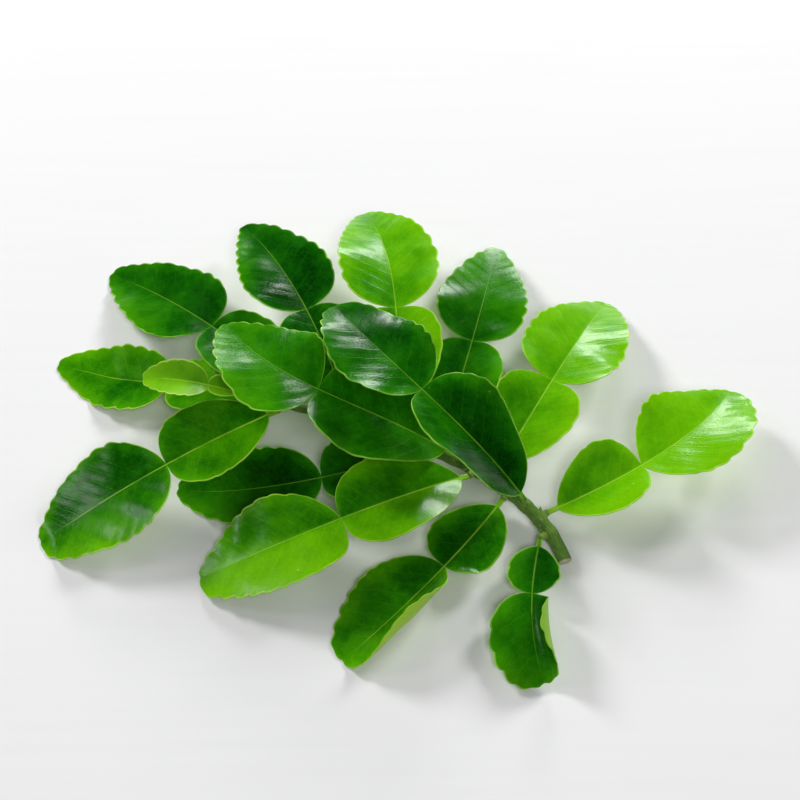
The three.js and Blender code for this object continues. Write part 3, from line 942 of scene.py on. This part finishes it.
@dataclass
class DoubleLeaf:
    """A winged petiole, neck and blade grown as one thin leaf."""

    leaf: Leaf
    base: Array
    seed: int
    petiole: float = 4.0
    root: float = 1.2
    neck_half: float = 1.0
    tip_half: float = 0.4
    tip_round: float = 2.4
    tip_short: float = 1.0
    notch_depth: float = 0.9
    notch_half: float = 1.3
    wing_shape: tuple[float, float] = (0.66, 0.36)
    thickness: float = 0.36
    rod_above: float = 0.55
    rod_below: float = 0.95
    rib_depth: float = 0.9
    rib_half: tuple[float, float] = (0.85, 0.35)
    groove_depth: float = 0.10
    groove_half: float = 0.4
    curl_reach: float = 18.0
    joint_blend: float = 6.0
    wave_reach: float = 16.0
    wave_lag: float = 0.9
    tooth_length: float = 5.8
    tooth_depth: float = 0.85
    tooth_lean: float = 1.5
    tooth_zero: float = 0.66
    wing_teeth: float = 0.45
    spacing_drift: tuple[float, float] = (0.20, 8.3)
    depth_drift: tuple[float, float] = (0.35, 7.7)
    edge_power: int = 14
    bump_count: int = 4
    bump_height: float = 0.11
    bump_lows: tuple[float, float, float] = (11, -0.6, 0)
    bump_highs: tuple[float, float, float] = (26, 0.6, 6.28)
    quilt_height: float = 0.034
    crease: tuple[float, float] = (0.8, 4.5)
    # How widely the painted shade between the halves blends across the midrib, at the base and at the tip
    half_shade_blend: tuple[float, float] = (1.2, 9.0)
    row_crowding: float = 0.72
    midrib_steps: int = 240
    stub_rows: int = 14
    wing_rows: int = 84
    blade_rows: int = 124
    half_columns: int = 26

    def __post_init__(self) -> None:
        """Works out the lengths and the midrib's frames."""
        self.neck_at = self.petiole + self.leaf.wing[0]
        self.length = self.neck_at + self.leaf.blade[0]
        self.draw = np.random.default_rng(self.seed)
        self.walk_midrib()

    @property
    def size(self) -> float:
        """Share of a full leaf's size; under 1 only in the young leaf."""
        return min(1.0, self.leaf.blade[1] / 30)

    def walk_midrib(self) -> None:
        """Walks the midrib from the base: heading, pitch and roll are parabolas, and the steps are summed."""
        leaf = self.leaf
        u = np.linspace(0, 1, self.midrib_steps + 1)
        neck = self.neck_at / self.length
        swing = (0.0, leaf.turn[0], leaf.turn[0] + leaf.turn[1])
        heading = np.radians(leaf.heading + through_three(u, neck, swing))
        pitch = np.radians(through_three(u, neck, leaf.pitch))
        roll = np.radians(through_three(u, neck, leaf.roll))[:, None]
        forward = direction(heading, pitch)
        level = np.stack([-np.sin(heading), np.cos(heading), np.zeros_like(heading)], -1)
        left = level * np.cos(roll) + np.cross(forward, level) * np.sin(roll)
        steps = (forward[1:] + forward[:-1]) * (self.length / self.midrib_steps / 2)
        self.marks = u * self.length
        self.centres = self.base + np.concatenate([np.zeros((1, 3)), np.cumsum(steps, axis=0)])
        self.lefts = left
        self.ups = np.cross(forward, left)
        self.start_way = forward[0]

    def frame_at(self, distance: Array) -> tuple[Array, Array, Array]:
        """Finds the midrib's frame; before the base the midrib runs on straight.

        Args:
            distance: along the midrib from the base.

        Returns:
            The centre, the unit vector to the left and the one upwards, at each distance.
        """
        def taken(table: Array) -> Array:
            """Reads a table of vectors by straight interpolation."""
            return np.stack([np.interp(distance, self.marks, table[:, k]) for k in range(3)], -1)

        before = np.minimum(distance, 0.0)[..., None] * self.start_way
        return taken(self.centres) + before, unit(taken(self.lefts)), unit(taken(self.ups))

    def rows(self) -> tuple[Array, Array, Array, Array]:
        """Lays the cross rows out.

        Rows are even over the petiole, and in wing and blade they crowd towards both ends by a share of a
        cosine. The half width is the hypotenuse of the neck's half width and the egg outline. The blade's
        outline stops short of the egg's point and closes by a quarter ellipse, so that the tip is round.

        Returns:
            For each row its distance from the base and, as (rows, 2) arrays for left and right, the half
            width and the tooth's push forwards and outwards.
        """
        leaf = self.leaf
        stub = np.linspace(-self.root, self.petiole, self.stub_rows)[:-1]

        def crowd(count: int) -> Array:
            """Shares from 0 to 1, crowded at both ends."""
            even = np.linspace(0, 1, count)
            return lerp(even, (1 - np.cos(math.pi * even)) / 2, self.row_crowding)

        t_wing, t_row = crowd(self.wing_rows), crowd(self.blade_rows)[1:]
        wing = self.petiole + t_wing * leaf.wing[0]
        blade = self.neck_at + t_row * (leaf.blade[0] - self.tip_short * self.size)
        cut = self.tip_round * self.size / leaf.blade[0]
        t_blade = t_row * (1 - cut)
        closing = np.sqrt(1 - np.clip(1 - (1 - t_row) / cut, 0, 1) ** 2)
        distance = np.concatenate([stub, wing, blade])
        strength = np.concatenate([
            np.zeros(len(stub)),
            self.wing_teeth * smoothstep(t_wing, 0.35, 0.6) * (1 - smoothstep(t_wing, 0.86, 0.97)),
            smoothstep(t_blade, 0.10, 0.3) * (1 - smoothstep(t_blade, 0.88, 0.98)),
        ])
        height_w, slope_w = egg(t_wing, *self.wing_shape)
        half_w = np.hypot(self.neck_half, leaf.wing[1] / 2 * height_w)
        sides = []
        for shape in (leaf.left, leaf.right):
            height_b, slope_b = egg(t_blade, *shape)
            rib = lerp(self.neck_half, self.tip_half, t_row)
            half_b = np.hypot(rib, leaf.blade[1] / 2 * height_b * closing)
            half = np.concatenate([np.full(len(stub), self.neck_half), half_w, half_b])
            slope = np.concatenate([
                np.zeros(len(stub)),
                leaf.wing[1] / 2 * slope_w / leaf.wing[0],
                leaf.blade[1] / 2 * slope_b / leaf.blade[0],
            ])
            sides.append((half, *self.teeth(distance, half, slope, strength)))
        half, ahead, out = (np.stack(pair, -1) for pair in zip(*sides))
        return distance, half, ahead, out

    def teeth(self, distance: Array, half: Array, slope: Array, strength: Array) -> tuple[Array, Array]:
        """Sets scallops on one margin: sharp notches between round teeth of uneven size that lean to the tip.

        A tooth is half a sine wave, leant by a power, and slower sine waves along the margin vary its length
        and depth. It pushes the margin at right angles to its slope.

        Args:
            distance: of each row from the base.
            half: the margin's distance from the midrib.
            slope: the margin's slope.
            strength: share of the full depth.

        Returns:
            How far each row's margin is pushed forwards and outwards.
        """
        run = np.concatenate([[0.0], np.cumsum(np.hypot(np.diff(distance), np.diff(half)))])
        start, sway = self.draw.uniform(-0.35, 0.35, 2)
        length = self.tooth_length * (0.3 + 0.7 * self.size)
        (shift, shift_wave), (swell, swell_wave) = self.spacing_drift, self.depth_drift
        phase = run / length + start + shift * np.sin(run / shift_wave + 9 * sway)
        scallop = np.sin(math.pi * (phase - np.floor(phase)) ** self.tooth_lean) ** 0.8 - self.tooth_zero
        depth = self.tooth_depth * self.size * (1 + swell * np.sin(run / swell_wave + 17 * sway))
        tooth = depth * strength * scallop
        slant = np.hypot(1, slope)
        return -tooth * slope / slant, tooth / slant

    def lift(self, distance: Array, far: Array, side: Array) -> Array:
        """Height of the lamina's own unevenness over the folded, curled half.

        It is the margin's wave, which grows with the square of the distance from the midrib, a gentle
        unevenness from a few crossed cosines, and a slight quilting between the lateral veins.

        Args:
            distance: from the base.
            far: from the midrib.
            side: 1 left, -1 right.

        Returns:
            The height in millimetres.
        """
        height, waves, phase = self.leaf.wave
        ripple = np.sin(2 * math.pi * waves * distance / self.length + phase + side * self.wave_lag)
        lifted = height * (far / self.wave_reach) ** 2 * ripple
        for _ in range(self.bump_count):
            length, angle, start = self.draw.uniform(self.bump_lows, self.bump_highs)
            way = distance * math.cos(angle) + far * side * math.sin(angle)
            bump = np.cos(2 * math.pi * way / length + start) * smoothstep(far, 0.5, 7.0)
            lifted = lifted + self.bump_height * self.size * bump
        run = distance - VEIN_SLANT * far - VEIN_BEND * far**2
        quilt = np.cos(2 * math.pi * (run / VEIN_SPACING + VEIN_STAGGER * (side > 0)))
        return lifted + self.quilt_height * self.size * quilt * smoothstep(far, 1.0, 4.0)

    def build(self, material: bpy.types.Material) -> bpy.types.Object:
        """Builds the leaf.

        Each half is summed outwards from the midrib: its slope is the fold, eased in over a crease that
        widens to the tip, plus the curl times the distance, and the sums of cosine and sine give the way out
        and up. The tip has a shallow notch, a bell across the midrib.

        Args:
            material: the leaf's material.

        Returns:
            The leaf object.
        """
        leaf = self.leaf
        distance, half, ahead, out = self.rows()
        spread = np.sin(math.pi / 2 * np.linspace(0, 1, self.half_columns + 1)) ** 1.5
        near_edge = spread[None] ** self.edge_power
        halves = []
        for k, side in ((0, 1.0), (1, -1.0)):
            far = half[:, k, None] * spread + out[:, k, None] * near_edge
            at = distance[:, None] + ahead[:, k, None] * near_edge
            notch = smoothstep((distance - self.neck_at) / leaf.blade[0], 0.88, 1.0)[:, None]
            at = at - self.notch_depth * self.size * notch * np.exp(-((far / self.notch_half) ** 2))
            past = smoothstep(at, self.neck_at - self.joint_blend, self.neck_at + self.joint_blend)
            fold = np.radians(lerp(leaf.fold[0], leaf.fold[1], past))
            curl = np.radians(lerp(leaf.curl[k], leaf.curl[2 + k], past)) / self.curl_reach
            crease = lerp(*self.crease, smoothstep(at / self.length, 0.56, 0.94))
            lean = fold * np.tanh(far / crease) + curl * far
            middle = (lean[:, 1:] + lean[:, :-1]) / 2
            step = np.diff(far, axis=1)
            nothing = np.zeros((len(distance), 1))
            way_out = np.concatenate([nothing, np.cumsum(np.cos(middle) * step, axis=1)], 1)
            way_up = np.concatenate([nothing, np.cumsum(np.sin(middle) * step, axis=1)], 1)
            way_up = way_up + self.lift(at, far, np.full_like(far, side))
            centre, left, up = self.frame_at(at)
            sheet = centre + left * (side * way_out)[..., None] + up * way_up[..., None]
            normal = up * np.cos(lean)[..., None] - left * (side * np.sin(lean))[..., None]
            edge = (half[:, k] + out[:, k])[:, None] - far
            halves.append((at, far * side, edge, sheet, normal, np.broadcast_to(spread, far.shape)))
        at, across, edge, sheet, normal, share_out = (
            np.concatenate([a[:, ::-1], b[:, 1:]], 1) for a, b in zip(*halves)
        )
        return self.skin(at, across, edge, sheet, normal, share_out, material)

    def skin(
        self, at: Array, across: Array, edge: Array, sheet: Array, normal: Array, share_out: Array,
        material: bpy.types.Material,
    ) -> bpy.types.Object:
        """Gives the sheet its two faces and closes them into one shell.

        Upper and lower face lie half the thickness off the sheet and meet in a round margin. The midrib is a
        groove above and stands out as a bell below, and the petiole is an oval rod. What would sink under the
        surface is pressed flat on it. The two halves' values, the leaf's green with painted shade on one half,
        blend across the midrib, more widely towards the tip.

        Args:
            at: distance from the base.
            across: signed distance from the midrib.
            edge: distance from the margin.
            sheet: the middle surface.
            normal: its upward normal.
            share_out: share of the half width, 0 at the midrib.
            material: the leaf's material.

        Returns:
            The leaf object.
        """
        thin = self.thickness / 2
        rounding = np.sqrt(1 - (1 - np.clip(edge / thin, 0, 1)) ** 2)
        oval = np.sqrt(np.clip(1 - share_out**2, 0, 1))
        rod = 1 - smoothstep(at, 1.2, self.petiole + 2.5)
        share = np.clip(at / self.length, 0, 1)
        bell = np.exp(-((across / lerp(*self.rib_half, share)) ** 2)) * (1 - share_out**4)
        groove = np.exp(-((across / self.groove_half) ** 2)) * smoothstep(at, 4.0, 10.0)
        sunk = self.groove_depth * (1 - share) * groove
        above = lerp(thin * rounding, self.rod_above * oval, rod) - sunk
        below = lerp(thin * rounding + self.rib_depth * (1 - share) * bell, self.rod_below * oval, rod)
        underside = sheet[..., 2] - thin * normal[..., 2]
        sheet = sheet.copy()
        sheet[..., 2] += pressed(underside) - underside
        top = sheet + normal * above[..., None]
        bottom = sheet - normal * below[..., None]
        bottom[..., 2] = np.maximum(bottom[..., 2], 0)
        ring = np.concatenate([top, bottom[:, -2:0:-1]], 1)

        def around(a: Array, b: Optional[Array] = None) -> Array:
            """Carries a value over the upper face and back under the lower one."""
            return np.concatenate([a, (a if b is None else b)[:, -2:0:-1]], 1)

        upper = np.ones_like(at)
        upper[:, [0, -1]] = 0.5
        # Painted shade: the halves' values, which make one half darker than the other, blend over a width that
        # grows to the tip
        blend = lerp(*self.half_shade_blend, smoothstep(share, 0.55, 1.0))
        left_share = smoothstep(across / blend, -1.0, 1.0)
        values = {
            "along": around(at),
            "across": around(across),
            "edge": around(edge),
            "share": around(share),
            "upper": around(upper, np.zeros_like(at)),
            "fresh": around(lerp(self.leaf.fresh[1], self.leaf.fresh[0], left_share)),
            "seed": np.full(ring.shape[:2], float(self.seed) * 3.7),
        }
        shell = Shell.from_rings(ring, ring[0].mean(0), ring[-1].mean(0), values)
        return shell.to_object(self.leaf.name + "_fine", material)


@dataclass
class Studio:
    """Floor, soft lights and the camera."""

    look_at: tuple[float, float, float] = (0.0010, 0.0117, 0.010)
    distance: float = 0.70
    elevation: float = 56.0
    lens: float = 87.5
    floor_size: float = 6.0
    floor_drop: float = 0.0001
    surround: float = 0.16

    def floor(self) -> None:
        """Lays the pale sheet under the sprig."""
        half = self.floor_size / 2
        mesh = bpy.data.meshes.new("floor")
        corners = [(-half, -half, 0.0), (half, -half, 0.0), (half, half, 0.0), (-half, half, 0.0)]
        mesh.from_pydata(corners, [], [(0, 1, 2, 3)])
        mesh.materials.append(FloorFinish().material())
        made = bpy.data.objects.new("floor", mesh)
        made.location.z = -self.floor_drop
        bpy.context.scene.collection.objects.link(made)

    def area(
        self, name: str, place: Vector, size: tuple[float, float], power: float, mirrored: bool = True
    ) -> None:
        """Hangs one oval light aimed at the sprig.

        Args:
            name: the light's name.
            place: where it hangs, in metres.
            size: its width and height.
            power: its strength in watts.
            mirrored: whether glossy surfaces show it.
        """
        data = bpy.data.lights.new(name, "AREA")
        data.shape = "ELLIPSE"
        data.size, data.size_y = size
        data.energy = power
        lamp = bpy.data.objects.new(name, data)
        lamp.visible_glossy = mirrored
        lamp.location = place
        lamp.rotation_euler = (Vector(self.look_at) - place).to_track_quat("-Z", "Y").to_euler()
        bpy.context.scene.collection.objects.link(lamp)

    def lights(self) -> None:
        """Sets a pale surround, three soft lights that gloss doesn't show and two windows that it does."""
        world = bpy.data.worlds.new("studio")
        world.use_nodes = True
        background = next(n for n in world.node_tree.nodes if n.bl_idname == "ShaderNodeBackground")
        background.inputs["Color"].default_value = (1.0, 1.0, 1.0, 1.0)
        background.inputs["Strength"].default_value = self.surround
        world.cycles_visibility.glossy = False
        bpy.context.scene.world = world
        bpy.context.scene.view_settings.view_transform = "Standard"
        self.area("soft_back_left", Vector((-1.15, 1.05, 0.90)), (0.50, 0.50), 19.0, mirrored=False)
        self.area("soft_back_right", Vector((1.10, 1.05, 0.85)), (0.45, 0.45), 15.0, mirrored=False)
        self.area("soft_front", Vector((0.3, -1.0, 1.5)), (0.6, 0.6), 8.0, mirrored=False)
        self.area("window_behind", Vector((0.22, 1.48, 0.52)), (0.50, 0.28), 5.6)
        self.area("window_left", Vector((-1.0, 0.25, 0.95)), (0.30, 0.30), 1.2)

    def camera(self) -> None:
        """Stands the camera at the photograph's angle."""
        data = bpy.data.cameras.new("camera")
        data.lens = self.lens
        data.sensor_width = 36.0
        rise = math.radians(self.elevation)
        target = Vector(self.look_at)
        made = bpy.data.objects.new("camera", data)
        made.location = target + Vector((0.0, -math.cos(rise), math.sin(rise))) * self.distance
        made.rotation_euler = (target - made.location).to_track_quat("-Z", "Y").to_euler()
        bpy.context.scene.collection.objects.link(made)
        bpy.context.scene.camera = made


FINISHES = {
    Green.DEEP: LeafFinish(
        slot=Green.DEEP, shade=(0.0012, 0.034, 0.0004), light=(0.081, 0.352, 0.001), rim_glint=(0.32, 0.66, 0.06),
        rib=(0.24, 0.46, 0.03), under=(0.24, 0.47, 0.045), under_bright=(0.22, 0.52, 0.006),
        roughness=0.19, red_power=1.9, rib_strength=0.48,
    ),
    Green.FRESH: LeafFinish(
        slot=Green.FRESH, shade=(0.003, 0.062, 0.0004), light=(0.188, 0.545, 0.001), rim_glint=(0.46, 0.80, 0.07),
        rib=(0.42, 0.70, 0.05), under=(0.36, 0.62, 0.055), under_bright=(0.36, 0.68, 0.008),
        roughness=0.18, red_power=1.7,
    ),
    Green.YOUNG: LeafFinish(
        slot=Green.YOUNG, shade=(0.060, 0.300, 0.002), light=(0.255, 0.590, 0.006), rim_glint=(0.55, 0.84, 0.10),
        rib=(0.52, 0.78, 0.08), under=(0.34, 0.60, 0.07), under_bright=(0.46, 0.76, 0.04),
        roughness=0.28, red_power=1.3,
    ),
}


def settle(piece: bpy.types.Object, node: str) -> None:
    """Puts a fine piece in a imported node's stead, on the same body and slot.

    Args:
        piece: the fine piece.
        node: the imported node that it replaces.
    """
    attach(piece, "root")
    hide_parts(node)
    LOG.info("%s stands for %s, %d faces", piece.name, node, len(piece.data.polygons))


def main() -> None:
    """Builds the twig, the leaves and the studio in order."""
    logging.basicConfig(level=logging.INFO)
    LOG.info("%d packed nodes to dress", len(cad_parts))
    twig = Twig()
    settle(twig.build(BarkFinish()), "twig")
    materials = {green: finish.material() for green, finish in FINISHES.items()}
    for number, leaf in enumerate(LEAVES, 1):
        piece = DoubleLeaf(leaf, twig.leaf_base(leaf), number).build(materials[leaf.green])
        settle(piece, leaf.name)
    studio = Studio()
    studio.floor()
    studio.lights()
    studio.camera()


if __name__ == "__main__":
    main()
